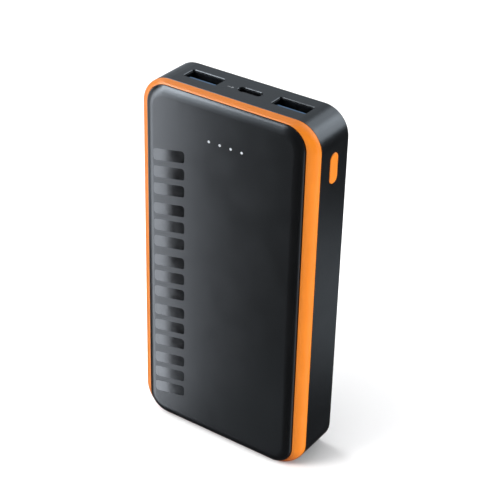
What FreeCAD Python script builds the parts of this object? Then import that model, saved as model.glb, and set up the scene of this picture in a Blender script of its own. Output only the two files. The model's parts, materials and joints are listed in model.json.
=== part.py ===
import FreeCAD, Part
import os
from math import cos, pi, sin, sqrt

# Pocket-size battery bank with two USB-A sockets, one USB-C socket, four charge lights and one side key.
# All lengths are millimetres. +X is the bank's right side, seen from the front, -Y is the front and +Z is
# up. The origin is the middle of the footprint, on the surface that the bank stands on.

Vec = FreeCAD.Vector

# Outside
BODY_W = 70.6
BODY_D = 22.5
BODY_H = 136.0
PILLOW = 2.05              # how far the front cover stands out of the bezel ring
RING_D = 3.6               # depth of the bezel ring along Y
RING_SIDE = 3.45           # how far the ring rounds in at the left and right
RING_END = 0.55            # how far the ring rounds in at the top and bottom
CORNER_R = 9.7
COVER_R = 8.0
COVER_EDGE = 3.5           # width of the front cover's rounded margin
BACK_FILLET = 0.8
SECTIONS = 7               # outlines that a rounded margin is lofted through

# Walls and gaps
WALL = 2.2                 # side walls of the rear shell
BACK_WALL = 2.0
COVER_WALL = 2.0
SEAT_D = 0.8               # depth of the ring's rebate that the cover sits in
COVER_GAP = 0.25           # shadow gap between cover and ring
LIP = 1.6                  # how far the ring's lip reaches into the shell
LIP_GAP = 0.1
LIP_WALL = 1.2
HOLE_INSET = 2.4           # the ring's opening, measured in from the shell's inside wall
POCKET_SIDE = 1.6          # thickness of the cover's rim at the left and right
POCKET_END = 3.2           # thickness of the cover's rim at the top and bottom
ROOT = 0.5                 # how far a rib or a column runs into the wall that it grows from
RIM_BEVEL = 0.2            # round the socket mouths
SEAM_BEVEL = 0.2

FRONT_Y = -BODY_D / 2
RING_Y = FRONT_Y + PILLOW
SEAM_Y = RING_Y + RING_D
BACK_Y = BODY_D / 2
SEAT_Y = RING_Y + SEAT_D
FLOOR_Y = BACK_Y - BACK_WALL
COVER_INNER_Y = FRONT_Y + COVER_WALL
MID_Z = BODY_H / 2
HALF_W = BODY_W / 2
HALF_H = BODY_H / 2
INNER_W = HALF_W - WALL
INNER_H = HALF_H - WALL
INNER_R = CORNER_R - WALL
HOLE_W = INNER_W - HOLE_INSET
HOLE_H = INNER_H - HOLE_INSET
HOLE_R = INNER_R - HOLE_INSET
COVER_W = HALF_W - RING_SIDE
COVER_H = HALF_H - RING_END

# Ribs and gussets inside the shell
WEB_T = 1.0
RIB_T = 1.2
RIB_GAP = 0.4              # between the ribs and the ring's lip
SIDE_RIB_ZS = (24.0, 46.0, 68.0, 90.0)
FLOOR_RIB_XS = (-18.0, 0.0, 18.0)

# Catches of the front cover
HOOK_W = 6.0
HOOK_T = 1.2
HOOK_BITE = 0.65
HOOK_END = 0.9
HOOK_GAP = 0.15
SIDE_HOOKS = (-38.0, 0.0, 38.0)
END_HOOKS = (-15.0, 15.0)

# Screws that hold the ring to the shell, and the board to the shell
SCREW_X = 27.8
SCREW_IN = 7.5             # from the bottom and from the top
BOSS_R = 2.5
SCREW_R = 0.95
SCREW_HOLE_R = 0.97
SCREW_CLEAR = 0.15         # round a screw where it only passes through
HEAD_R = 1.8
HEAD_H = 1.1
SOCKET_R = 0.75
SOCKET_D = 0.6
TAB = 1.6                  # thickness of the ring's screw tabs
TAB_R = 2.6
RING_SCREW_L = 9.0
BOARD_SCREW_L = 3.2

# Sockets
PORT_Y = 2.6               # middle of all three sockets
USB_A_X = (-16.8, 18.6)
USB_C_X = 1.75
USB_A_W = 13.14
USB_A_T = 5.7
USB_A_L = 14.0
USB_A_SHEET = 0.3
USB_A_R = 0.6
USB_C_W = 8.94
USB_C_T = 3.16
USB_C_L = 7.9
USB_C_SHEET = 0.3
MOUTH_DROP = 0.45          # socket mouths sit this far under the top face
PORT_GAP = 0.12            # between a socket's sheet metal and the housing
TONGUE_W = 11.1
TONGUE_T = 1.84
TONGUE_WALL_GAP = 0.7
TONGUE_DROP = 0.8
TONGUE_BASE = 4.6
SPRING_XS = (-3.0, 3.0)    # finger springs in the USB-A shell's front wall
SPRING_W = 1.6
WINDOW_W = 2.2             # window round each finger
WINDOW_TOP = 4.8           # below the socket's mouth
WINDOW_LOW = 8.2
USB_A_PINS = (-3.5, -1.0, 1.0, 3.5)
USB_C_PINS = 12
USB_C_PITCH = 0.5
USB_C_TONGUE_W = 6.69
USB_C_TONGUE_T = 0.7

# Main board
BOARD_FRONT = 4.18
BOARD_T = 1.2
BOARD_BACK = BOARD_FRONT + BOARD_T
BOARD_LOW = 114.5
BOARD_SHOULDER = 125.8
BOARD_HIGH = 133.2
BOARD_W = 30.0
BOARD_TOP_W = 25.1
BOARD_SCREWS = ((-27.4, 123.6), (27.4, 123.9), (2.0, 116.7))
POST_R = 2.4

# Key and its switch
KEY_Y = 2.4
KEY_Z = 118.5
KEY_W = 4.6
KEY_L = 11.2
KEY_GAP = 0.2
KEY_PROUD = 0.25
KEY_FLANGE = 1.0           # how far the inside flange stands out around the key
KEY_FLANGE_T = 1.0
KEY_REST_GAP = 0.1
KEY_BEVEL = 0.45
GUIDE_T = 0.9              # shelves above and below the key's flange
GUIDE_REACH = 2.2
GUIDE_W = 4.2
GUIDE_GAP = 0.2
SWITCH_X = 26.4
SWITCH_L = 3.2
SWITCH_T = 3.7
SWITCH_H = 6.0
SWITCH_WALL = 0.7
PLUNGER_END = 30.8
PLUNGER_R = 0.9
COLLAR_R = 1.4
WELL_R = 1.5

# Charge lights
LIGHT_X = 1.8
LIGHT_PITCH = 4.4
LIGHT_Z = 121.1
LIGHTS = 4
PIPE_R = 0.45
PIPE_CLEAR = 0.08
LIGHT_XS = [LIGHT_X + (i - (LIGHTS - 1) / 2) * LIGHT_PITCH for i in range(LIGHTS)]

# Cells
CELL_W = 57.0
CELL_T = 8.5
CELL_LOW = 10.2
CELL_HIGH = 107.8
CELL_SLACK = 0.2           # between the cells and the shell's ribs
TERRACE = 4.0
FOAM_FRONT = 0.5
TAPE_T = 0.3
TAB_XS = (-14.0, 14.0)
PROTECTION_LOW = CELL_HIGH + TERRACE + 0.7
PROTECTION_T = 0.8

# Printed film
INK_T = 0.06
BAR_X = -21.4
BAR_W = 13.2
BAR_H = 4.4
BAR_SLANT = 2.6
BAR_R = 1.1
BAR_PITCH = 6.6
BAR_LOW = 13.6             # middle of the lowest bar
BARS_IN_GROUP = 3
GROUP_PITCH = 21.0
GROUPS = 5

SCREW_POINTS = [(sx * SCREW_X, z) for sx in (-1, 1) for z in (SCREW_IN, BODY_H - SCREW_IN)]


# ---------------------------------------------------------------- small helpers

def box(x0, x1, y0, y1, z0, z1):
    return Part.makeBox(x1 - x0, y1 - y0, z1 - z0, Vec(x0, y0, z0))


def cylinder(point, radius, length, direction):
    return Part.makeCylinder(radius, length, Vec(*point), Vec(*direction))


def outline(half_w, half_h, radius, y, centre=(0.0, MID_Z)):
    """Closed rounded rectangle that stands in a plane of constant Y."""
    cx, cz = centre
    edges = []
    diagonal = radius / sqrt(2)
    arc_w = half_w - radius
    arc_h = half_h - radius
    corners = ((1, 1), (-1, 1), (-1, -1), (1, -1))
    for index, (sx, sz) in enumerate(corners):
        side = Vec(cx + sx * half_w, y, cz + sz * arc_h)
        middle = Vec(cx + sx * (arc_w + diagonal), y, cz + sz * (arc_h + diagonal))
        end = Vec(cx + sx * arc_w, y, cz + sz * half_h)
        first, last = (side, end) if index % 2 == 0 else (end, side)
        if edges:
            edges.append(Part.LineSegment(edges[-1].Vertexes[-1].Point, first).toShape())
        edges.append(Part.Arc(first, middle, last).toShape())
    edges.append(Part.LineSegment(edges[-1].Vertexes[-1].Point, edges[0].Vertexes[0].Point).toShape())
    return Part.Wire(edges)


def plate(half_w, half_h, radius, y0, y1, centre=(0.0, MID_Z)):
    return Part.Face(outline(half_w, half_h, radius, y0, centre)).extrude(Vec(0, y1 - y0, 0))


def rounded_margin(size, inset, radii, y_base, height):
    """Solid whose edge rounds in by a quarter ellipse, from y_base towards the front."""
    wires = []
    for step in range(SECTIONS):
        angle = step * (pi / 2) / (SECTIONS - 1)
        pull = 1 - cos(angle)
        half_w = size[0] - inset[0] * pull
        half_h = size[1] - inset[1] * pull
        radius = radii[0] + (radii[1] - radii[0]) * pull
        wires.append(outline(half_w, half_h, radius, y_base - height * sin(angle)))
    return Part.makeLoft(wires, True, False)


def pill_along_x(x0, x1, width, length):
    """Pill-shaped bar for the side key: width along Y, length along Z."""
    radius = width / 2
    straight = length / 2 - radius
    low = KEY_Z - straight
    high = KEY_Z + straight
    left = KEY_Y - radius
    right = KEY_Y + radius
    edges = [
        Part.LineSegment(Vec(x0, left, low), Vec(x0, left, high)).toShape(),
        Part.Arc(Vec(x0, left, high), Vec(x0, KEY_Y, high + radius), Vec(x0, right, high)).toShape(),
        Part.LineSegment(Vec(x0, right, high), Vec(x0, right, low)).toShape(),
        Part.Arc(Vec(x0, right, low), Vec(x0, KEY_Y, low - radius), Vec(x0, left, low)).toShape(),
    ]
    return Part.Face(Part.Wire(edges)).extrude(Vec(x1 - x0, 0, 0))


def slot_along_z(x, width, thickness, radius, z0, z1):
    """Rounded bar that stands along Z, centred on a socket."""
    half_w = width / 2
    half_t = thickness / 2
    bar = box(x - half_w, x + half_w, PORT_Y - half_t, PORT_Y + half_t, z0, z1)
    upright = [edge for edge in bar.Edges if abs(edge.tangentAt(edge.FirstParameter).z) > 0.9]
    return bar.makeFillet(radius, upright)


def edges_at_y(shape, y):
    return [edge for edge in shape.Edges if all(abs(v.Y - y) < 1e-4 for v in edge.Vertexes)
            and abs(edge.CenterOfMass.y - y) < 1e-4]


def fuse(shapes):
    result = shapes[0].multiFuse(shapes[1:]) if len(shapes) > 1 else shapes[0]
    return result.removeSplitter()


# ---------------------------------------------------------------- housing

def usb_a_hole(x, grow, z0, z1):
    return slot_along_z(x, USB_A_W + 2 * grow, USB_A_T + 2 * grow, USB_A_R + grow, z0, z1)


def usb_c_hole(x, grow, z0, z1):
    thickness = USB_C_T + 2 * grow
    return slot_along_z(x, USB_C_W + 2 * grow, thickness, thickness / 2 - 0.01, z0, z1)


def cut_ports(tub):
    """Cuts the three socket mouths through the top wall and bevels their rims."""
    low = BODY_H - WALL - 1
    high = BODY_H + 1
    holes = [usb_a_hole(x, PORT_GAP, low, high) for x in USB_A_X]
    holes.append(usb_c_hole(USB_C_X, PORT_GAP, low, high))
    tub = tub.cut(holes)
    rims = [edge for edge in tub.Edges if all(abs(v.Z - BODY_H) < 1e-4 for v in edge.Vertexes)
            and edge.Length < USB_A_W + 1]
    return tub.makeChamfer(RIM_BEVEL, rims)


def shell_bosses():
    """Columns for the ring's screws and posts for the board's screws."""
    column_h = FLOOR_Y - SEAM_Y + ROOT
    columns = [cylinder((x, SEAM_Y, z), BOSS_R, column_h, (0, 1, 0)) for x, z in SCREW_POINTS]
    post_h = FLOOR_Y - BOARD_BACK + ROOT
    posts = [cylinder((x, BOARD_BACK, z), POST_R, post_h, (0, 1, 0)) for x, z in BOARD_SCREWS]
    return columns + posts


def shell_webs():
    """Gussets that tie the corner columns to the side walls."""
    webs = []
    y_low = SEAM_Y + LIP + RIB_GAP
    y_high = FLOOR_Y + ROOT
    half = WEB_T / 2
    for x, z in SCREW_POINTS:
        side = 1 if x > 0 else -1
        end = 1 if z > MID_Z else -1
        x_low, x_high = sorted((x, side * (INNER_W + ROOT)))
        z_low, z_high = sorted((z, MID_Z + end * (INNER_H + ROOT)))
        webs.append(box(x_low, x_high, y_low, y_high, z - half, z + half))
        webs.append(box(x - half, x + half, y_low, y_high, z_low, z_high))
    return webs


def shell_ribs():
    """Ribs that hold the cells off the side walls and the floor of the bank."""
    ribs = []
    y_low = SEAM_Y + LIP + RIB_GAP
    y_high = FLOOR_Y + ROOT
    half = RIB_T / 2
    for z in SIDE_RIB_ZS:
        for side in (-1, 1):
            x_low, x_high = sorted((side * (CELL_W / 2 + CELL_SLACK), side * (INNER_W + ROOT)))
            ribs.append(box(x_low, x_high, y_low, y_high, z - half, z + half))
    for x in FLOOR_RIB_XS:
        ribs.append(box(x - half, x + half, y_low, y_high, WALL - ROOT, CELL_LOW - CELL_SLACK))
    return ribs


def key_guides():
    """Two shelves inside the wall that keep the key's flange upright."""
    reach = KEY_L / 2 + KEY_FLANGE + GUIDE_GAP
    half = GUIDE_W / 2
    guides = []
    for side in (-1, 1):
        z_low, z_high = sorted((KEY_Z + side * reach, KEY_Z + side * (reach + GUIDE_T)))
        guides.append(box(INNER_W - GUIDE_REACH, INNER_W + ROOT, KEY_Y - half, KEY_Y + half, z_low, z_high))
    return guides


def rear_shell():
    tub = plate(HALF_W, HALF_H, CORNER_R, SEAM_Y, BACK_Y)
    tub = tub.makeFillet(BACK_FILLET, edges_at_y(tub, BACK_Y))
    tub = tub.makeChamfer(SEAM_BEVEL, edges_at_y(tub, SEAM_Y))
    tub = tub.cut(plate(INNER_W, INNER_H, INNER_R, SEAM_Y - 1, FLOOR_Y))
    inside = plate(INNER_W + ROOT, INNER_H + ROOT, INNER_R + ROOT, SEAM_Y, FLOOR_Y + ROOT)
    added = [piece.common(inside) for piece in shell_bosses() + shell_webs() + shell_ribs() + key_guides()]
    tub = cut_ports(fuse([tub] + added))
    cuts = [port_mark(), pill_along_x(INNER_W - 1, HALF_W + 1, KEY_W + 2 * KEY_GAP, KEY_L + 2 * KEY_GAP)]
    ring_hole = RING_SCREW_L + 1.5
    board_hole = BOARD_SCREW_L + 0.8
    cuts += [cylinder((x, SEAM_Y - 1, z), SCREW_HOLE_R, ring_hole, (0, 1, 0)) for x, z in SCREW_POINTS]
    cuts += [cylinder((x, BOARD_BACK - 1, z), SCREW_HOLE_R, board_hole, (0, 1, 0)) for x, z in BOARD_SCREWS]
    return tub.cut(cuts)


def bezel_ring():
    ring = rounded_margin((HALF_W, HALF_H), (RING_SIDE, RING_END), (CORNER_R, COVER_R), SEAM_Y, RING_D)
    lip_w = INNER_W - LIP_GAP
    lip_h = INNER_H - LIP_GAP
    lip_r = INNER_R - LIP_GAP
    lip = plate(lip_w, lip_h, lip_r, SEAM_Y - 0.5, SEAM_Y + LIP)
    ring = ring.fuse(lip)
    inner_lip = plate(lip_w - LIP_WALL, lip_h - LIP_WALL, lip_r - LIP_WALL, SEAM_Y, SEAM_Y + LIP + 1)
    ring = ring.cut(inner_lip)
    ring = ring.cut(plate(HOLE_W, HOLE_H, HOLE_R, RING_Y - 1, SEAM_Y + 1))
    ring = ring.cut(plate(COVER_W, COVER_H, COVER_R, RING_Y - 1, SEAT_Y))
    tabs = []
    for x, z in SCREW_POINTS:
        disc = cylinder((x, SEAM_Y - TAB, z), TAB_R, TAB, (0, 1, 0))
        side = 1 if x > 0 else -1
        end = 1 if z > MID_Z else -1
        x_low, x_high = sorted((x, side * (HOLE_W + 1)))
        z_low, z_high = sorted((z, MID_Z + end * (HOLE_H + 1)))
        corner = box(x_low, x_high, SEAM_Y - TAB, SEAM_Y, z_low, z_high)
        tabs += [disc, corner]
    inside = plate(HOLE_W + 1, HOLE_H + 1, HOLE_R + 1, SEAM_Y - TAB, SEAM_Y)
    ring = fuse([ring] + [tab.common(inside) for tab in tabs])
    hole_r = SCREW_R + SCREW_CLEAR
    return ring.cut([cylinder((x, SEAM_Y - TAB - 1, z), hole_r, TAB + 2, (0, 1, 0)) for x, z in SCREW_POINTS])


def snap_hook(angle, reach, along):
    """One catch of the front cover, whose barb goes behind the ring's edge.

    It is made for the right side, then turned about the middle of the cover by a quarter turn or more.
    """
    half = HOOK_W / 2
    stem = box(reach - HOOK_T, reach, SEAT_Y - 0.5, SEAM_Y + HOOK_END, along - half, along + half)
    barb = box(reach - 0.1, reach + HOOK_BITE, SEAM_Y + 0.1, SEAM_Y + HOOK_END, along - half, along + half)
    hook = stem.fuse(barb)
    hook.rotate(Vec(0, 0, 0), Vec(0, 1, 0), angle)
    hook.translate(Vec(0, 0, MID_Z))
    return hook


def snap_hooks():
    side_reach = HOLE_W - HOOK_GAP
    end_reach = HOLE_H - HOOK_GAP
    hooks = [snap_hook(angle, side_reach, along) for angle in (0, 180) for along in SIDE_HOOKS]
    hooks += [snap_hook(angle, end_reach, along) for angle in (90, 270) for along in END_HOOKS]
    return hooks


def front_cover():
    half_w = COVER_W - COVER_GAP
    half_h = COVER_H - COVER_GAP / 2
    radius = COVER_R - COVER_GAP
    margin = (COVER_EDGE, COVER_EDGE)
    pillow = rounded_margin((half_w, half_h), margin, (radius, radius - COVER_EDGE), RING_Y, PILLOW)
    foot = plate(half_w, half_h, radius, RING_Y, SEAT_Y)
    pocket_w = half_w - POCKET_SIDE
    pocket_h = half_h - POCKET_END
    pocket = plate(pocket_w, pocket_h, radius - POCKET_SIDE, COVER_INNER_Y, SEAT_Y + 1)
    cover = pillow.fuse(foot).cut(pocket)
    outer = HOOK_GAP
    inner = HOOK_GAP + HOOK_T
    rim = plate(HOLE_W - outer, HOLE_H - outer, HOLE_R, COVER_INNER_Y - 0.2, SEAT_Y)
    rim = rim.cut(plate(HOLE_W - inner, HOLE_H - inner, HOLE_R - HOOK_T, COVER_INNER_Y - 1, SEAT_Y + 1))
    cover = fuse([cover, rim] + snap_hooks())
    hole_r = PIPE_R + PIPE_CLEAR
    cover = cover.cut([cylinder((x, FRONT_Y - 1, LIGHT_Z), hole_r, 5.0, (0, 1, 0)) for x in LIGHT_XS])
    return cover.cut(gloss_print())


def slanted_bar(x, z, width, height, slant):
    """Leaning rounded bar of film on the front cover's flat face."""
    half_w = width / 2
    half_h = height / 2
    corners = [Vec(x + side * half_w, FRONT_Y, z + end * half_h + side * slant / 2)
               for side, end in ((-1, -1), (1, -1), (1, 1), (-1, 1))]
    bar = Part.Face(Part.makePolygon(corners + corners[:1])).extrude(Vec(0, INK_T, 0))
    short = [edge for edge in bar.Edges if abs(edge.tangentAt(edge.FirstParameter).y) > 0.9]
    return bar.makeFillet(BAR_R, short)


def gloss_print():
    """Column of plain leaning bars in groups, in clear gloss film."""
    bars = []
    for group in range(GROUPS):
        for bar in range(BARS_IN_GROUP):
            z = BAR_LOW + group * GROUP_PITCH + bar * BAR_PITCH
            bars.append(slanted_bar(BAR_X, z, BAR_W, BAR_H, BAR_SLANT))
    return Part.makeCompound(bars)


def port_mark():
    """Small printed arrowhead and dash beside the USB-C socket, on the top face."""
    z = BODY_H - INK_T
    y = 1.75
    tip = [Vec(-5.1, y - 0.75, z), Vec(-4.1, y, z), Vec(-5.1, y + 0.75, z)]
    head = Part.Face(Part.makePolygon(tip + tip[:1])).extrude(Vec(0, 0, INK_T))
    dash = box(-6.7, -5.5, y - 0.2, y + 0.2, z, BODY_H)
    return Part.makeCompound([head, dash])


# ---------------------------------------------------------------- screws

def screw(x, y, z, length):
    """Pan-head screw that points to the back; y is the seat of its head."""
    head = cylinder((x, y - HEAD_H, z), HEAD_R, HEAD_H, (0, 1, 0))
    head = head.makeFillet(0.35, edges_at_y(head, y - HEAD_H))
    shank = cylinder((x, y - 0.2, z), SCREW_R, length + 0.2, (0, 1, 0))
    slot_a = box(x - SOCKET_R, x + SOCKET_R, y - HEAD_H - 1, y - HEAD_H + SOCKET_D, z - 0.22, z + 0.22)
    slot_b = box(x - 0.22, x + 0.22, y - HEAD_H - 1, y - HEAD_H + SOCKET_D, z - SOCKET_R, z + SOCKET_R)
    return head.fuse(shank).cut(slot_a.fuse(slot_b))


def ring_screws():
    return Part.makeCompound([screw(x, SEAM_Y - TAB, z, RING_SCREW_L) for x, z in SCREW_POINTS])


def board_screws():
    return Part.makeCompound([screw(x, BOARD_FRONT, z, BOARD_SCREW_L) for x, z in BOARD_SCREWS])


# ---------------------------------------------------------------- key and switch

def power_key():
    shoulder = INNER_W - KEY_REST_GAP
    face = HALF_W + KEY_PROUD
    cap = pill_along_x(shoulder - 0.5, face, KEY_W, KEY_L)
    rim = [edge for edge in cap.Edges if all(abs(v.X - face) < 1e-4 for v in edge.Vertexes)
           and abs(edge.CenterOfMass.x - face) < 1e-4]
    cap = cap.makeFillet(KEY_BEVEL, rim)
    flange = pill_along_x(shoulder - KEY_FLANGE_T, shoulder, KEY_W + 2 * KEY_FLANGE, KEY_L + 2 * KEY_FLANGE)
    post_end = PLUNGER_END + 0.05
    post = cylinder((post_end, KEY_Y, KEY_Z), 1.5, shoulder - KEY_FLANGE_T - post_end + 0.2, (1, 0, 0))
    return fuse([cap, flange, post])


def switch_body():
    y0 = BOARD_FRONT - SWITCH_T
    body = box(SWITCH_X, SWITCH_X + SWITCH_L, y0, BOARD_FRONT, KEY_Z - SWITCH_H / 2, KEY_Z + SWITCH_H / 2)
    well = cylinder((SWITCH_X + SWITCH_WALL, KEY_Y, KEY_Z), WELL_R, SWITCH_L, (1, 0, 0))
    return body.cut(well)


def switch_plunger():
    """Round button of the switch, with a collar that the cover plate holds in."""
    collar_x = SWITCH_X + SWITCH_L - 0.9
    stem = cylinder((collar_x, KEY_Y, KEY_Z), PLUNGER_R, PLUNGER_END - collar_x, (1, 0, 0))
    collar = cylinder((collar_x, KEY_Y, KEY_Z), COLLAR_R, 0.6, (1, 0, 0))
    return fuse([stem, collar])


def switch_plate():
    """Steel plate that closes the switch and folds down over its two ends."""
    x0 = SWITCH_X + SWITCH_L
    y0 = BOARD_FRONT - SWITCH_T
    z0 = KEY_Z - SWITCH_H / 2
    z1 = KEY_Z + SWITCH_H / 2
    face = box(x0, x0 + 0.25, y0, BOARD_FRONT - 0.2, z0 - 0.25, z1 + 0.25)
    ears = [box(x0 - 1.6, x0 + 0.25, y0 + 0.6, BOARD_FRONT - 0.6, z, z + 0.25) for z in (z0 - 0.25, z1)]
    plate_solid = fuse([face] + ears)
    return plate_solid.cut(cylinder((x0 - 1, KEY_Y, KEY_Z), PLUNGER_R + 0.1, 3, (1, 0, 0)))


def switch_dome():
    """Thin snap dome that the plunger presses flat."""
    radius = 3.6
    sheet = 0.1
    rise = 0.45
    base_x = SWITCH_X + SWITCH_WALL
    centre = Vec(base_x + rise - radius, KEY_Y, KEY_Z)
    ball = Part.makeSphere(radius, centre).cut(Part.makeSphere(radius - sheet, centre))
    return ball.common(cylinder((base_x, KEY_Y, KEY_Z), WELL_R - 0.05, 2.0, (1, 0, 0)))


# ---------------------------------------------------------------- sockets

def usb_a_shell(x):
    top = BODY_H - MOUTH_DROP
    outer = slot_along_z(x, USB_A_W, USB_A_T, USB_A_R, top - USB_A_L, top)
    inner_w = USB_A_W - 2 * USB_A_SHEET
    inner_t = USB_A_T - 2 * USB_A_SHEET
    inner = slot_along_z(x, inner_w, inner_t, USB_A_R - 0.25, top - USB_A_L + 0.4, top + 1)
    shell = outer.cut(inner)
    half = WINDOW_W / 2
    windows = [box(x + offset - half, x + offset + half, PORT_Y - USB_A_T, PORT_Y,
                   top - WINDOW_LOW, top - WINDOW_TOP) for offset in SPRING_XS]
    return shell.cut(windows)


def usb_a_springs(x):
    """Two pressed spring fingers in the shell's front wall, bent in towards the plug."""
    top = BODY_H - MOUTH_DROP
    outside_y = PORT_Y - USB_A_T / 2
    inside_y = outside_y + USB_A_SHEET
    root = top - WINDOW_LOW
    bend = top - WINDOW_TOP - 1.2
    tip = top - WINDOW_TOP - 0.3
    points = [Vec(0, outside_y, root), Vec(0, inside_y, root), Vec(0, inside_y + 0.25, bend),
              Vec(0, inside_y, tip), Vec(0, outside_y + 0.1, tip), Vec(0, inside_y, bend)]
    face = Part.Face(Part.makePolygon(points + points[:1]))
    fingers = []
    for offset in SPRING_XS:
        finger = face.extrude(Vec(SPRING_W, 0, 0))
        finger.translate(Vec(x + offset - SPRING_W / 2, 0, 0))
        fingers.append(finger)
    return Part.makeCompound(fingers)


def usb_a_insert(x):
    """Moulded base with the tongue that carries the contacts."""
    top = BODY_H - MOUTH_DROP
    wall_y = PORT_Y - USB_A_T / 2 + USB_A_SHEET
    low = top - USB_A_L + 0.42
    slack = 2 * USB_A_SHEET + 0.04
    base = slot_along_z(x, USB_A_W - slack, USB_A_T - slack, 0.36, low, low + TONGUE_BASE)
    tongue_y = wall_y + TONGUE_WALL_GAP
    tip = top - TONGUE_DROP
    tongue = box(x - TONGUE_W / 2, x + TONGUE_W / 2, tongue_y, tongue_y + TONGUE_T, low + 1, tip)
    corners = [edge for edge in tongue.Edges if abs(edge.CenterOfMass.z - tip) < 1e-4
               and abs(edge.tangentAt(edge.FirstParameter).x) > 0.9]
    return fuse([base, tongue.makeChamfer(0.3, corners)])


def usb_a_contacts(x):
    """Four gilt springs that lie on the tongue's face."""
    top = BODY_H - MOUTH_DROP
    tongue_back = PORT_Y - USB_A_T / 2 + USB_A_SHEET + TONGUE_WALL_GAP + TONGUE_T
    low = top - USB_A_L + 0.42 + TONGUE_BASE
    strips = []
    for pin, offset in enumerate(USB_A_PINS):
        drop = 1.6 if pin in (0, 3) else 2.6
        points = [Vec(0, tongue_back, low), Vec(0, tongue_back + 0.15, low),
                  Vec(0, tongue_back + 0.4, top - drop - 1.6), Vec(0, tongue_back, top - drop)]
        strip = Part.Face(Part.makePolygon(points + points[:1])).extrude(Vec(1.0, 0, 0))
        strip.translate(Vec(x + offset - 0.5, 0, 0))
        strips.append(strip)
    return Part.makeCompound(strips)


def usb_c_shell():
    top = BODY_H - MOUTH_DROP
    outer = slot_along_z(USB_C_X, USB_C_W, USB_C_T, USB_C_T / 2 - 0.01, top - USB_C_L, top)
    inner_t = USB_C_T - 2 * USB_C_SHEET
    inner_w = USB_C_W - 2 * USB_C_SHEET
    inner = slot_along_z(USB_C_X, inner_w, inner_t, inner_t / 2 - 0.01, top - USB_C_L + 0.3, top + 1)
    return outer.cut(inner)


def usb_c_insert():
    top = BODY_H - MOUTH_DROP
    low = top - USB_C_L + 0.32
    inner_t = USB_C_T - 2 * USB_C_SHEET - 0.04
    inner_w = USB_C_W - 2 * USB_C_SHEET - 0.04
    base = slot_along_z(USB_C_X, inner_w, inner_t, inner_t / 2 - 0.01, low, low + 1.6)
    tongue = slot_along_z(USB_C_X, USB_C_TONGUE_W, USB_C_TONGUE_T, 0.2, low + 0.5, top - 0.6)
    return fuse([base, tongue])


def usb_c_contacts():
    top = BODY_H - MOUTH_DROP
    low = top - USB_C_L + 0.32 + 1.6
    strips = []
    for index in range(USB_C_PINS):
        x = USB_C_X + (index - (USB_C_PINS - 1) / 2) * USB_C_PITCH
        for side in (-1, 1):
            face = PORT_Y + side * USB_C_TONGUE_T / 2
            y_low, y_high = sorted((face, face + side * 0.08))
            strips.append(box(x - 0.125, x + 0.125, y_low, y_high, low, top - 1.1))
    return Part.makeCompound(strips)


# ---------------------------------------------------------------- board

def main_board():
    lower = box(-BOARD_W, BOARD_W, BOARD_FRONT, BOARD_BACK, BOARD_LOW, BOARD_SHOULDER)
    upper = box(-BOARD_TOP_W, BOARD_TOP_W, BOARD_FRONT, BOARD_BACK, BOARD_SHOULDER, BOARD_HIGH)
    board = fuse([lower, upper])
    gap = 0.15
    bays = [box(x - USB_A_W / 2 - gap, x + USB_A_W / 2 + gap, 0, BODY_D,
                BODY_H - MOUTH_DROP - USB_A_L - gap, BODY_H) for x in USB_A_X]
    holes = [cylinder((x, 0, z), SCREW_R + SCREW_CLEAR, BODY_D, (0, 1, 0)) for x, z in BOARD_SCREWS]
    return board.cut(bays + holes)


def chip(x, z, width, height, thickness, rear=False):
    """Flat package on the board's front or rear face, with a softened top."""
    y0, y1 = (BOARD_BACK, BOARD_BACK + thickness) if rear else (BOARD_FRONT - thickness, BOARD_FRONT)
    body = box(x - width / 2, x + width / 2, y0, y1, z - height / 2, z + height / 2)
    outer_y = y1 if rear else y0
    return body.makeChamfer(min(0.2, thickness / 4), edges_at_y(body, outer_y))


def inductor(x):
    """Square ferrite block with a bobbin groove, for one of the two power converters."""
    size = 6.2
    z = BOARD_LOW + 0.3 + size / 2
    core = chip(x, z, size, size, 3.0)
    y_mid = BOARD_FRONT - 1.5
    groove = box(x - size, x + size, y_mid - 0.5, y_mid + 0.5, z - size, z + size)
    core_inner = cylinder((x, BOARD_FRONT - 3.0, z), 2.6, 3.0, (0, 1, 0))
    return fuse([core.cut(groove), core_inner.common(core)])


def power_transistors():
    return Part.makeCompound([chip(x, 118.2, 3.3, 3.3, 1.0, True) for x in (-22.0, -17.6, 12.6, 17.0)])


def ceramic_capacitors():
    near = [chip(x, 115.7, 1.6, 0.9, 0.9) for x in (7.6, 10.0)]
    far = [chip(x, 122.3, 3.2, 1.6, 1.6, True) for x in (-6.8, -2.6, 6.4, 10.6)]
    return Part.makeCompound(near + far)


def polymer_capacitors():
    cans = []
    for x in (-11.0, 22.6):
        can = cylinder((x, BOARD_BACK, 117.9), 2.5, 3.4, (0, 1, 0))
        cans.append(can.makeFillet(0.3, edges_at_y(can, BOARD_BACK + 3.4)))
    return Part.makeCompound(cans)


def status_light(x):
    body = box(x - 0.8, x + 0.8, BOARD_FRONT - 0.35, BOARD_FRONT, LIGHT_Z - 0.4, LIGHT_Z + 0.4)
    lens = cylinder((x, BOARD_FRONT - 0.6, LIGHT_Z), 0.35, 0.4, (0, 1, 0))
    return fuse([body, lens])


def light_pipe(x):
    return cylinder((x, FRONT_Y, LIGHT_Z), PIPE_R, BOARD_FRONT - 0.75 - FRONT_Y, (0, 1, 0))


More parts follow.
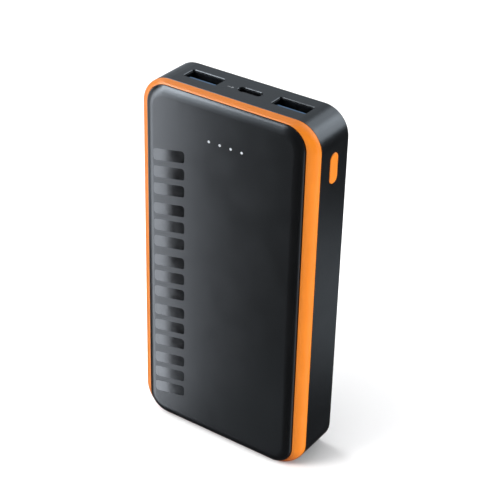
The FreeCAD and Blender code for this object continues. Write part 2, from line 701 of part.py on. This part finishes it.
def light_holder():
    """Black block that keeps the four light pipes apart and stops light leaking between them."""
    x0 = LIGHT_XS[0] - 2.2
    x1 = LIGHT_XS[-1] + 2.2
    block = box(x0, x1, COVER_INNER_Y + 0.2, BOARD_FRONT, LIGHT_Z - 1.7, LIGHT_Z + 1.9)
    bores = [cylinder((x, FRONT_Y, LIGHT_Z), PIPE_R + PIPE_CLEAR, BODY_D, (0, 1, 0)) for x in LIGHT_XS]
    pocket_y = BOARD_FRONT - 0.7
    pockets = [box(x - 1.0, x + 1.0, pocket_y, BODY_D, LIGHT_Z - 0.6, LIGHT_Z + 0.6) for x in LIGHT_XS]
    return block.cut(bores + pockets)


# ---------------------------------------------------------------- battery pack

def cell_front_y(index):
    return COVER_INNER_Y + FOAM_FRONT + index * (CELL_T + TAPE_T)


def battery_cell(index):
    """Foil pouch with rounded long edges, folded side seams and a sealed terrace at the top."""
    y0 = cell_front_y(index)
    half_w = CELL_W / 2
    pouch = box(-half_w + 0.5, half_w - 0.5, y0, y0 + CELL_T, CELL_LOW, CELL_HIGH)
    upright = [edge for edge in pouch.Edges if abs(edge.tangentAt(edge.FirstParameter).z) > 0.9]
    pouch = pouch.makeFillet(1.6, upright)
    middle = y0 + CELL_T / 2
    top = CELL_HIGH + TERRACE
    terrace = box(-half_w + 1.5, half_w - 1.5, middle - 0.4, middle + 0.4, CELL_HIGH - 1, top)
    seams = [box(x, x + 0.9, middle - 2.2, middle + 2.2, CELL_LOW + 1, CELL_HIGH - 1)
             for x in (-half_w, half_w - 0.9)]
    return fuse([pouch, terrace] + seams)


def cell_tabs(index):
    """Nickel strips that stand out of the terrace and reach the protection board."""
    middle = cell_front_y(index) + CELL_T / 2
    low = CELL_HIGH + TERRACE
    strips = [box(x - 2.5, x + 2.5, middle - 0.07, middle + 0.07, low, PROTECTION_LOW) for x in TAB_XS]
    return Part.makeCompound(strips)


def protection_board():
    y0 = cell_front_y(0) + CELL_T / 2 - 1.2
    y1 = cell_front_y(1) + CELL_T / 2 + 1.2
    top = PROTECTION_LOW + PROTECTION_T
    board = box(-19.0, 19.0, y0, y1, PROTECTION_LOW, top)
    chips = [box(x - 1.5, x + 1.5, -6.0, -3.4, top - 0.1, top + 0.8) for x in (-4.0, 0.5, 5.0)]
    return fuse([board] + chips)


def foam_front():
    half_w = CELL_W / 2 - 4
    return box(-half_w, half_w, COVER_INNER_Y, COVER_INNER_Y + FOAM_FRONT, CELL_LOW + 4, CELL_HIGH - 4)


def foam_rear():
    half_w = CELL_W / 2 - 4
    y0 = cell_front_y(1) + CELL_T
    return box(-half_w, half_w, y0, FLOOR_Y, CELL_LOW + 4, CELL_HIGH - 4)


def cell_tape():
    half_w = CELL_W / 2 - 6
    y0 = cell_front_y(0) + CELL_T
    return box(-half_w, half_w, y0, y0 + TAPE_T, CELL_LOW + 8, CELL_HIGH - 8)


def battery_lead(x):
    """Wire that rises from the protection board and turns back to the main board."""
    radius = 0.65
    bend = 2.0
    y0 = 0.5
    z0 = PROTECTION_LOW + PROTECTION_T
    z1 = 117.6
    corner = bend * (1 - 1 / sqrt(2))
    start = Vec(x, y0, z0)
    rise = Vec(x, y0, z1 - bend)
    arc_mid = Vec(x, y0 + corner, z1 - corner)
    turned = Vec(x, y0 + bend, z1)
    end = Vec(x, BOARD_FRONT, z1)
    path = Part.Wire([Part.LineSegment(start, rise).toShape(), Part.Arc(rise, arc_mid, turned).toShape(),
                      Part.LineSegment(turned, end).toShape()])
    section = Part.Wire(Part.Circle(start, Vec(0, 0, 1), radius).toShape())
    return path.makePipeShell([section], True, True)


def thermistor():
    """Bead that reads the rear cell's temperature, on the terrace under the protection board."""
    y = cell_front_y(1) + CELL_T / 2 - 1.35
    z = CELL_HIGH + 1.6
    bead = Part.makeSphere(0.9, Vec(0, y, z))
    legs = [cylinder((x, y, z), 0.2, PROTECTION_LOW - z, (0, 0, 1)) for x in (-0.45, 0.45)]
    return fuse([bead] + legs)


# ---------------------------------------------------------------- output

def nodes():
    parts = {
        "rear_shell": rear_shell(),
        "bezel_ring": bezel_ring(),
        "front_cover": front_cover(),
        "gloss_print": gloss_print(),
        "port_mark": port_mark(),
        "ring_screws": ring_screws(),
        "board_screws": board_screws(),
        "power_key": power_key(),
        "switch_body": switch_body(),
        "switch_plate": switch_plate(),
        "switch_plunger": switch_plunger(),
        "switch_dome": switch_dome(),
        "usb_c_shell": usb_c_shell(),
        "usb_c_insert": usb_c_insert(),
        "usb_c_contacts": usb_c_contacts(),
        "main_board": main_board(),
        "boost_inductor": inductor(-24.2),
        "charge_inductor": inductor(16.6),
        "power_controller": chip(-5.2, 117.0, 4.0, 4.0, 0.8),
        "charge_controller": chip(7.6, 118.0, 4.4, 4.4, 0.8, True),
        "power_transistors": power_transistors(),
        "ceramic_capacitors": ceramic_capacitors(),
        "polymer_capacitors": polymer_capacitors(),
        "light_holder": light_holder(),
        "foam_front": foam_front(),
        "foam_rear": foam_rear(),
        "cell_tape": cell_tape(),
        "protection_board": protection_board(),
        "thermistor": thermistor(),
        "battery_lead_red": battery_lead(-14.0),
        "battery_lead_black": battery_lead(-11.0),
    }
    for name, x in zip(("left", "right"), USB_A_X):
        parts["usb_a_shell_" + name] = usb_a_shell(x)
        parts["usb_a_springs_" + name] = usb_a_springs(x)
        parts["usb_a_insert_" + name] = usb_a_insert(x)
        parts["usb_a_contacts_" + name] = usb_a_contacts(x)
    for number, x in enumerate(LIGHT_XS, start=1):
        parts["status_light_" + str(number)] = status_light(x)
        parts["light_pipe_" + str(number)] = light_pipe(x)
    for index, name in enumerate(("front", "rear")):
        parts["battery_cell_" + name] = battery_cell(index)
        parts["cell_tabs_" + name] = cell_tabs(index)
    return parts


os.makedirs("parts", exist_ok=True)
for node, shape in nodes().items():
    shape.exportStep("parts/" + node + ".step")
    state = "valid" if shape.isValid() else "BROKEN"
    print(node, len(shape.Solids), "solid(s)", round(shape.Volume, 2), "mm3", state)
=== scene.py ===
import json
from math import cos, pi, radians, sin

import bpy
from mathutils import Matrix, Vector


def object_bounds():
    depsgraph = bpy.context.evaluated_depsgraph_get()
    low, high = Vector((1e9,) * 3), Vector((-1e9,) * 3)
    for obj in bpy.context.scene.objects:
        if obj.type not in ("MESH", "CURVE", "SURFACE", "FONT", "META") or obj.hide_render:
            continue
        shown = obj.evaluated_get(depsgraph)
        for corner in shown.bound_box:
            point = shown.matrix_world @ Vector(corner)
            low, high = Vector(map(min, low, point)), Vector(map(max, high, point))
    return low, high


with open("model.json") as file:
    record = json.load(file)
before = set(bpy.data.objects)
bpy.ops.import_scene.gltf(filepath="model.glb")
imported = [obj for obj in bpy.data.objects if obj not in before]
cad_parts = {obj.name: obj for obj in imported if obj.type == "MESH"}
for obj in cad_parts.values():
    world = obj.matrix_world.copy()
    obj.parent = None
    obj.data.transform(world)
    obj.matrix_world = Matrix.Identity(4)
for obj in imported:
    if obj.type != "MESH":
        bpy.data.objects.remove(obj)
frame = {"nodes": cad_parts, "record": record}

# Power bank: looks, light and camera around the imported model. Lengths are metres, +Z is up and -Y is the
# front, as in the CAD model. Every CAD node keeps its shape and gets a procedural material for its slot.

CAD_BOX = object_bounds()
MM = 0.001

# View of the bank from its front, right and above
VIEW_AZIMUTH = 33.889
VIEW_ELEVATION = 31.153
VIEW_ROLL = 1.606
VIEW_DISTANCE = 0.50946
VIEW_LENS = 105.7
VIEW_SENSOR = 36.0
VIEW_NEAR = 0.01
VIEW_FAR = 50.0
AIM_DEPTH = -9.2 * MM            # the plane of the bezel ring's front edge
AIM_RIGHT = 9.75 * MM            # the line of sight passes this far right of the middle
AIM_UP = 10.54 * MM              # and this far above it

# Light. The sky has one colour for the camera, one for matt surfaces and one for glossy ones.
WHITE = (1.0, 1.0, 1.0)
COOL = (0.8, 0.9, 1.0)
FLOOR_WIDTH = 24.0
SKY_EYE = WHITE
SKY_MATT = (0.61, 0.61, 0.62)
SKY_GLOSS = (0.03, 0.031, 0.033)
SPLIT_X = -22.2 * MM             # where the front panel mirrors the edge of the left wall
WALL_REACH = 0.12                # from the panel to that edge
WALL_WIDTH = 0.042
WALL_LOW = -0.084
WALL_HIGH = 0.5
WALL_LIGHT = 6.0
WALL_TINT = (0.85, 0.91, 1.0)
SUN_ANGLE = 24
# direction towards each sun, strength
PAPER_SUNS = (
    ((-0.54, -0.78, 0.75), 1.45),
    ((-0.9, 0.15, 0.65), 0.75),
)
HIGH_REACH = 0.25
HIGH_WIDTH = 0.12
HIGH_STEP = 0.13
# how far the surface that mirrors the card leans back from upright, in degrees;
# how far right the card's reflection goes on it; radiance
HIGH_CARDS = (
    (68, -4 * MM, 14.0),
    (55, -6 * MM, 14.0),
    (42, -9 * MM, 14.0),
    (27, -12 * MM, 11.0),
    (12, -18 * MM, 5.5),
)
# lights for matt surfaces: name, place, what it is aimed at, size, radiance
MATT_CARDS = (
    ("overhead", (-0.5, -0.34, 0.86), (0.0, 0.0, 0.0), (1.2, 1.2), 1.85),
    ("right_fill", (0.9, 0.15, 0.05), (0.0, 0.0, 0.07), (0.5, 0.4), 9.0),
)
# lights for glossy surfaces in other views: the same columns
ROOM_CARDS = (
    ("back_high", (0.6, 0.65, 0.5), (0.0, 0.0, 0.1), (0.6, 0.6), 4.0),
    ("left_low", (-0.25, 0.1, 0.05), (0.0, 0.1, 0.05), (0.5, 0.2), 0.7),
)
# lights that the camera sees mirrored in the bank: name, point on the bank, normal there,
# distance from it, size, radiance
MIRROR_CARDS = (
    ("side_card", (35.3 * MM, 0.0, 70 * MM), (1, 0, 0), 0.25, (0.6, 0.07), 0.46),
    ("top_card", (0.0, 0.0, 136 * MM), (0, 0, 1), 1.1, (1.6, 0.7), 0.62),
    ("low_card", (12 * MM, -11.3 * MM, 14 * MM), (0, -1, 0), 0.12, (0.09, 0.05), 0.27),
    ("corner_card", (32 * MM, 0.0, 133 * MM), (0.51, 0, 0.86), 0.4, (0.24, 0.35), 2.4),
    ("ring_card", (34.5 * MM, -8 * MM, 70 * MM), (0.9, -0.43, 0), 0.3, (0.16, 0.3), 1.0),
)

NEAR_CORNER, FAR_CORNER = CAD_BOX
CENTRE = (NEAR_CORNER + FAR_CORNER) / 2
FRONT = NEAR_CORNER.y
TOP = FAR_CORNER.z

# Materials: the middle range of a noise pattern, which is spread over a material's two ends
PATTERN_LOW = 0.3
PATTERN_HIGH = 0.7
ROLLED = (1.0, 1.0, 0.08)        # streaks in rolled metal run along Z


# ---------------------------------------------------------------- camera, floor and light

def view_axes():
    """The camera's right, up and back directions."""
    azimuth = radians(VIEW_AZIMUTH)
    elevation = radians(VIEW_ELEVATION)
    back = Vector((sin(azimuth) * cos(elevation), -cos(azimuth) * cos(elevation), sin(elevation)))
    level = Vector((cos(azimuth), sin(azimuth), 0.0))
    upright = back.cross(level)
    roll = radians(VIEW_ROLL)
    right = level * cos(roll) + upright * sin(roll)
    up = upright * cos(roll) - level * sin(roll)
    return right, up, back


def eye_point():
    right, up, back = view_axes()
    middle = Vector((0.0, AIM_DEPTH, CENTRE.z))
    return middle + back * VIEW_DISTANCE + right * AIM_RIGHT + up * AIM_UP


def add_camera():
    data = bpy.data.cameras.new("camera")
    data.lens = VIEW_LENS
    data.sensor_width = VIEW_SENSOR
    data.clip_start = VIEW_NEAR
    data.clip_end = VIEW_FAR
    camera = bpy.data.objects.new("camera", data)
    turn = Matrix(view_axes()).transposed().to_4x4()
    camera.matrix_world = Matrix.Translation(eye_point()) @ turn
    bpy.context.scene.collection.objects.link(camera)
    bpy.context.scene.camera = camera


def mirrored(point, normal):
    """Direction in which the camera looks on after a mirror at that point."""
    sight = (Vector(point) - eye_point()).normalized()
    normal = Vector(normal).normalized()
    return sight - 2 * sight.dot(normal) * normal


def softbox(name, place, target, size, radiance, tint=WHITE, matt=False, gloss=False):
    """Rectangular light, aimed at a target. Matt surfaces, glossy ones or both see it.

    The camera never sees it directly.
    """
    data = bpy.data.lights.new(name, "AREA")
    data.shape = "RECTANGLE"
    data.size, data.size_y = size
    data.energy = radiance * pi * size[0] * size[1]
    data.color = tint
    light = bpy.data.objects.new(name, data)
    light.location = place
    light.rotation_mode = "QUATERNION"
    light.rotation_quaternion = (Vector(target) - Vector(place)).to_track_quat("-Z", "Y")
    light.visible_camera = False
    light.visible_diffuse = matt
    light.visible_glossy = gloss
    bpy.context.scene.collection.objects.link(light)


def add_world():
    """White to the camera, an even sky to matt surfaces and a dark room to glossy ones."""
    world = bpy.data.worlds.new("studio")
    world.use_nodes = True
    world.cycles.sampling_method = "NONE"
    tree = world.node_tree
    path = tree.nodes.new("ShaderNodeLightPath")
    target = tree.nodes["Background"].inputs["Color"]
    for ray, seen in (("Is Camera Ray", SKY_EYE), ("Is Glossy Ray", SKY_GLOSS)):
        blend = tree.nodes.new("ShaderNodeMix")
        blend.data_type = "RGBA"
        tree.links.new(path.outputs[ray], blend.inputs["Factor"])
        tree.links.new(blend.outputs["Result"], target)
        blend.inputs["A"].default_value = (*SKY_MATT, 1.0)
        blend.inputs["B"].default_value = (*seen, 1.0)
        target = blend.inputs["A"]
    bpy.context.scene.world = world


def add_floor():
    """White paper that is neither mirrored in the bank nor casts a shadow."""
    bpy.ops.mesh.primitive_plane_add(size=FLOOR_WIDTH, location=(0.0, 0.0, 0.0))
    floor = bpy.context.object
    floor.name = "floor"
    floor.visible_glossy = False
    floor.visible_shadow = False
    material = bpy.data.materials.new("floor_paper")
    material.use_nodes = True
    shader = material.node_tree.nodes["Principled BSDF"]
    shader.inputs["Base Color"].default_value = (*WHITE, 1.0)
    shader.inputs["Roughness"].default_value = 1.0
    shader.inputs["Specular IOR Level"].default_value = 0.0
    floor.data.materials.append(material)
    return floor


def add_left_wall():
    """Tall strip on the left. The front panel mirrors its right edge as a fall from light to dark."""
    on_panel = Vector((SPLIT_X, FRONT, CENTRE.z))
    away = mirrored(on_panel, (0, -1, 0))
    edge = on_panel + away * WALL_REACH
    away.z = 0.0
    away.normalize()
    across = Vector((away.y, -away.x, 0.0))
    middle = edge + across * (WALL_WIDTH / 2)
    middle.z = (WALL_LOW + WALL_HIGH) / 2
    size = (WALL_WIDTH, WALL_HIGH - WALL_LOW)
    softbox("left_wall", middle, middle - away, size, WALL_LIGHT, WALL_TINT, gloss=True)


def add_high_cards():
    """Arc of cards over the left of the bank, which the front's rounded top edges mirror."""
    for lean, right_end, radiance in HIGH_CARDS:
        point = Vector((right_end, FRONT, TOP))
        away = mirrored(point, (0.0, -cos(radians(lean)), sin(radians(lean))))
        across = Vector((0.0, away.y, away.z))
        place = point + away * (HIGH_REACH / across.length)
        place.x -= HIGH_WIDTH / 2
        size = (HIGH_WIDTH, HIGH_STEP)
        softbox("left_high", place, place - across, size, radiance, COOL, gloss=True)


def add_paper_suns(floor):
    """Two soft suns for the floor alone, so it is white apart from the bank's shadow on the right."""
    paper = bpy.data.collections.new("paper")
    paper.objects.link(floor)
    for towards, strength in PAPER_SUNS:
        data = bpy.data.lights.new("paper_sun", "SUN")
        data.energy = strength
        data.angle = radians(SUN_ANGLE)
        sun = bpy.data.objects.new("paper_sun", data)
        sun.rotation_mode = "QUATERNION"
        sun.rotation_quaternion = (-Vector(towards)).to_track_quat("-Z", "Y")
        sun.visible_glossy = False
        sun.light_linking.receiver_collection = paper
        bpy.context.scene.collection.objects.link(sun)


def add_lights(floor):
    for name, place, target, size, radiance in MATT_CARDS:
        softbox(name, place, target, size, radiance, matt=True)
    add_paper_suns(floor)
    add_left_wall()
    add_high_cards()
    for name, point, normal, distance, size, radiance in MIRROR_CARDS:
        point = Vector(point)
        place = point + mirrored(point, normal) * distance
        softbox(name, place, point, size, radiance, COOL, gloss=True)
    for name, place, target, size, radiance in ROOM_CARDS:
        softbox(name, place, target, size, radiance, COOL, gloss=True)


# ---------------------------------------------------------------- materials

class Finish:
    """A material under construction: noise patterns in object space that drive a Principled shader."""

    def __init__(self, name, roughness, metallic=0.0, **settings):
        self.material = bpy.data.materials.new(name)
        self.material.use_nodes = True
        self.tree = self.material.node_tree
        self.shader = self.tree.nodes["Principled BSDF"]
        self.shader.inputs["Roughness"].default_value = roughness
        self.shader.inputs["Metallic"].default_value = metallic
        for socket, value in settings.items():
            self.shader.inputs[socket.replace("_", " ")].default_value = value
        self.place = self.tree.nodes.new("ShaderNodeTexCoord").outputs["Object"]
        self.height = None

    def node(self, kind, **values):
        made = self.tree.nodes.new("ShaderNode" + kind)
        for name, value in values.items():
            setattr(made, name, value)
        return made

    def link(self, source, target):
        self.tree.links.new(source, target)

    def stretched(self, scale):
        """Object coordinates, scaled unevenly, for brushed or rolled metal."""
        mapping = self.node("Mapping")
        self.link(self.place, mapping.inputs["Vector"])
        mapping.inputs["Scale"].default_value = scale
        return mapping.outputs["Vector"]

    def noise(self, size, detail=3.0, stretch=None):
        texture = self.node("TexNoise")
        self.link(self.stretched(stretch) if stretch else self.place, texture.inputs["Vector"])
        texture.inputs["Scale"].default_value = 1 / size
        texture.inputs["Detail"].default_value = detail
        return texture.outputs["Fac"]

    def cells(self, size):
        texture = self.node("TexVoronoi")
        self.link(self.place, texture.inputs["Vector"])
        texture.inputs["Scale"].default_value = 1 / size
        return texture.outputs["Distance"]

    def spread(self, pattern, low_out, high_out, low_in=PATTERN_LOW, high_in=PATTERN_HIGH):
        """Maps the pattern's range to another one, and clamps it there."""
        mapped = self.node("MapRange")
        self.link(pattern, mapped.inputs["Value"])
        ends = (low_in, high_in, low_out, high_out)
        for socket, value in zip(("From Min", "From Max", "To Min", "To Max"), ends):
            mapped.inputs[socket].default_value = value
        return mapped.outputs["Result"]

    def colours(self, first, second, pattern, low_in=PATTERN_LOW, high_in=PATTERN_HIGH):
        mix = self.node("Mix", data_type="RGBA")
        self.link(self.spread(pattern, 0.0, 1.0, low_in, high_in), mix.inputs["Factor"])
        for socket, colour in (("A", first), ("B", second)):
            mix.inputs[socket].default_value = (*colour, 1.0)
        self.link(mix.outputs["Result"], self.shader.inputs["Base Color"])

    def painted_foot_shade(self, colour, full_below, none_above):
        """Painted contact shade: darkens the base colour at the foot, where the bank stands, between two
        heights over the floor.
        """
        height = self.node("SeparateXYZ")
        self.link(self.place, height.inputs["Vector"])
        mix = self.node("Mix", data_type="RGBA")
        base = self.shader.inputs["Base Color"]
        # share of the unshaded colour: none at the floor, full above the painted shade
        unshaded = self.spread(height.outputs["Z"], 0.0, 1.0, full_below, none_above)
        self.link(unshaded, mix.inputs["Factor"])
        mix.inputs["A"].default_value = (*colour, 1.0)
        self.link(base.links[0].from_socket, mix.inputs["B"])
        self.link(mix.outputs["Result"], base)

    def sheen_patches(self, pattern, low_out, high_out):
        self.link(self.spread(pattern, low_out, high_out), self.shader.inputs["Roughness"])

    def relief(self, pattern, depth):
        """Adds one layer of bump, on top of any layer that is there already."""
        bump = self.node("Bump")
        bump.inputs["Strength"].default_value = 1.0
        bump.inputs["Distance"].default_value = depth
        self.link(pattern, bump.inputs["Height"])
        if self.height is not None:
            self.link(self.height, bump.inputs["Normal"])
        self.height = bump.outputs["Normal"]
        self.link(self.height, self.shader.inputs["Normal"])


def soft_touch(name):
    made = Finish(name, 0.3, Specular_IOR_Level=0.5)
    made.colours((0.0032, 0.0037, 0.0044), (0.0048, 0.0054, 0.0062), made.noise(14 * MM))
    made.sheen_patches(made.noise(9 * MM, detail=4.0), 0.28, 0.32)
    made.relief(made.noise(1.4 * MM), 0.015 * MM)
    made.relief(made.noise(0.35 * MM, detail=2.0), 0.008 * MM)
    return made.material


def orange_plastic(name):
    made = Finish(name, 0.42, Specular_IOR_Level=0.35)
    made.colours((0.69, 0.183, 0.002), (0.73, 0.196, 0.003), made.noise(11 * MM))
    # painted contact shade along the foot, darker towards the floor
    made.painted_foot_shade((0.22, 0.03, 0.001), 0.5 * MM, 8 * MM)
    made.sheen_patches(made.noise(5 * MM, detail=4.0), 0.38, 0.46)
    made.relief(made.noise(0.3 * MM, detail=2.0), 0.003 * MM)
    return made.material


def gloss_film(name):
    made = Finish(name, 0.1, Specular_IOR_Level=0.5)
    made.colours((0.004, 0.004, 0.0045), (0.006, 0.006, 0.0065), made.noise(6 * MM))
    made.sheen_patches(made.noise(3 * MM, detail=4.0), 0.08, 0.13)
    made.relief(made.noise(2.5 * MM, detail=2.0), 0.003 * MM)
    return made.material


def moulded(name, first, second, roughness=0.45):
    made = Finish(name, roughness)
    made.colours(first, second, made.noise(4 * MM))
    made.sheen_patches(made.noise(1.5 * MM, detail=4.0), roughness - 0.06, roughness + 0.06)
    made.relief(made.noise(0.15 * MM, detail=2.0), 0.004 * MM)
    return made.material


def rolled_metal(name, first, second, roughness=0.3):
    made = Finish(name, roughness, metallic=1.0)
    streaks = made.noise(0.12 * MM, stretch=ROLLED)
    made.colours(first, second, made.noise(1.6 * MM))
    made.sheen_patches(streaks, roughness - 0.08, roughness + 0.1)
    made.relief(streaks, 0.003 * MM)
    return made.material


def laminate(name, mask, copper):
    """Circuit board: solder mask over rows of copper, with a woven glass relief."""
    made = Finish(name, 0.3, Coat_Weight=0.5)
    made.colours(mask, copper, made.cells(1.3 * MM), low_in=0.25, high_in=0.5)
    made.sheen_patches(made.noise(2 * MM), 0.25, 0.4)
    made.relief(made.noise(0.4 * MM, detail=2.0, stretch=(1.0, 1.0, 0.3)), 0.01 * MM)
    return made.material


def foil(name):
    made = Finish(name, 0.35, metallic=1.0)
    made.colours((0.62, 0.63, 0.65), (0.74, 0.75, 0.77), made.noise(12 * MM))
    made.sheen_patches(made.noise(3 * MM, detail=4.0), 0.28, 0.45)
    made.relief(made.noise(7 * MM, detail=5.0), 0.12 * MM)
    made.relief(made.noise(0.3 * MM), 0.004 * MM)
    return made.material


def foam(name):
    made = Finish(name, 0.95)
    pores = made.cells(0.5 * MM)
    made.colours((0.02, 0.02, 0.021), (0.06, 0.06, 0.062), pores, low_in=0.1, high_in=0.6)
    made.relief(pores, 0.08 * MM)
    return made.material


def light_guide(name):
    """Frosted end of a light pipe that is lit from behind."""
    made = Finish(name, 0.3, Emission_Strength=0.1, Transmission_Weight=0.2)
    made.colours((0.6, 0.63, 0.66), (0.7, 0.73, 0.76), made.noise(0.4 * MM))
    made.shader.inputs["Emission Color"].default_value = (0.8, 0.86, 0.92, 1.0)
    made.relief(made.noise(0.1 * MM), 0.003 * MM)
    return made.material


def silicone(name, first, second):
    made = Finish(name, 0.5, Specular_IOR_Level=0.4)
    made.colours(first, second, made.noise(3 * MM))
    made.relief(made.noise(0.2 * MM, stretch=(1.0, 1.0, 0.2)), 0.01 * MM)
    return made.material


def fired(name, first, second, grain=0.25 * MM):
    made = Finish(name, 0.55)
    made.colours(first, second, made.noise(grain, detail=5.0))
    made.relief(made.noise(grain, detail=4.0), 0.01 * MM)
    return made.material


STEEL = ((0.3, 0.3, 0.305), (0.42, 0.42, 0.425))
MAKERS = {
    "soft_touch_shell": soft_touch,
    "soft_touch_cover": soft_touch,
    "orange_ring": orange_plastic,
    "orange_key": orange_plastic,
    "gloss_film": gloss_film,
    "white_ink": lambda name: moulded(name, (0.2, 0.21, 0.22), (0.28, 0.29, 0.3), 0.4),
    "light_guide": light_guide,
    "black_nylon": lambda name: moulded(name, (0.014, 0.014, 0.014), (0.024, 0.024, 0.024)),
    "switch_black": lambda name: moulded(name, (0.012, 0.012, 0.012), (0.02, 0.02, 0.02), 0.4),
    "plunger_white": lambda name: moulded(name, (0.72, 0.72, 0.68), (0.8, 0.8, 0.76)),
    "sheet_steel": lambda name: rolled_metal(name, *STEEL),
    "black_nickel": lambda name: rolled_metal(name, (0.04, 0.04, 0.042), (0.07, 0.07, 0.073), 0.35),
    "spring_steel": lambda name: rolled_metal(name, (0.55, 0.52, 0.47), (0.7, 0.67, 0.61), 0.25),
    "socket_plastic": lambda name: moulded(name, (0.03, 0.09, 0.18), (0.05, 0.12, 0.23), 0.4),
    "socket_black": lambda name: moulded(name, (0.012, 0.012, 0.013), (0.02, 0.02, 0.022), 0.4),
    "gilt_contact": lambda name: rolled_metal(name, (0.8, 0.55, 0.2), (0.9, 0.68, 0.3), 0.22),
    "board_laminate": lambda name: laminate(name, (0.01, 0.06, 0.03), (0.03, 0.14, 0.06)),
    "protection_laminate": lambda name: laminate(name, (0.01, 0.03, 0.08), (0.03, 0.08, 0.16)),
    "ferrite": lambda name: fired(name, (0.05, 0.05, 0.052), (0.12, 0.12, 0.125)),
    "chip_resin": lambda name: moulded(name, (0.014, 0.014, 0.014), (0.03, 0.03, 0.03), 0.5),
    "capacitor_ceramic": lambda name: fired(name, (0.34, 0.22, 0.12), (0.46, 0.32, 0.19)),
    "capacitor_can": lambda name: rolled_metal(name, (0.7, 0.7, 0.71), (0.82, 0.82, 0.83), 0.28),
    "light_body": lambda name: moulded(name, (0.8, 0.78, 0.6), (0.9, 0.88, 0.7), 0.3),
    "screw_zinc": lambda name: rolled_metal(name, (0.5, 0.49, 0.46), (0.64, 0.63, 0.6), 0.3),
    "pouch_foil": foil,
    "nickel_strip": lambda name: rolled_metal(name, (0.55, 0.52, 0.47), (0.66, 0.63, 0.58), 0.3),
    "foam": foam,
    "tape": lambda name: fired(name, (0.72, 0.7, 0.62), (0.82, 0.8, 0.72), 0.6 * MM),
    "wire_red": lambda name: silicone(name, (0.45, 0.012, 0.01), (0.6, 0.03, 0.02)),
    "wire_black": lambda name: silicone(name, (0.01, 0.01, 0.01), (0.03, 0.03, 0.03)),
    "bead_resin": lambda name: moulded(name, (0.02, 0.02, 0.026), (0.04, 0.04, 0.05), 0.25),
}


def paint_nodes():
    """Gives every CAD node the material of its slot."""
    made = {}
    for row in frame["record"]["subparts"]:
        slot = row["material_slot"]
        if slot not in made:
            made[slot] = MAKERS[slot](slot)
        node = frame["nodes"][row["node"]]
        node.data.materials.clear()
        node.data.materials.append(made[slot])


add_camera()
add_world()
add_lights(add_floor())
paint_nodes()
bpy.context.scene.view_settings.view_transform = "Standard"
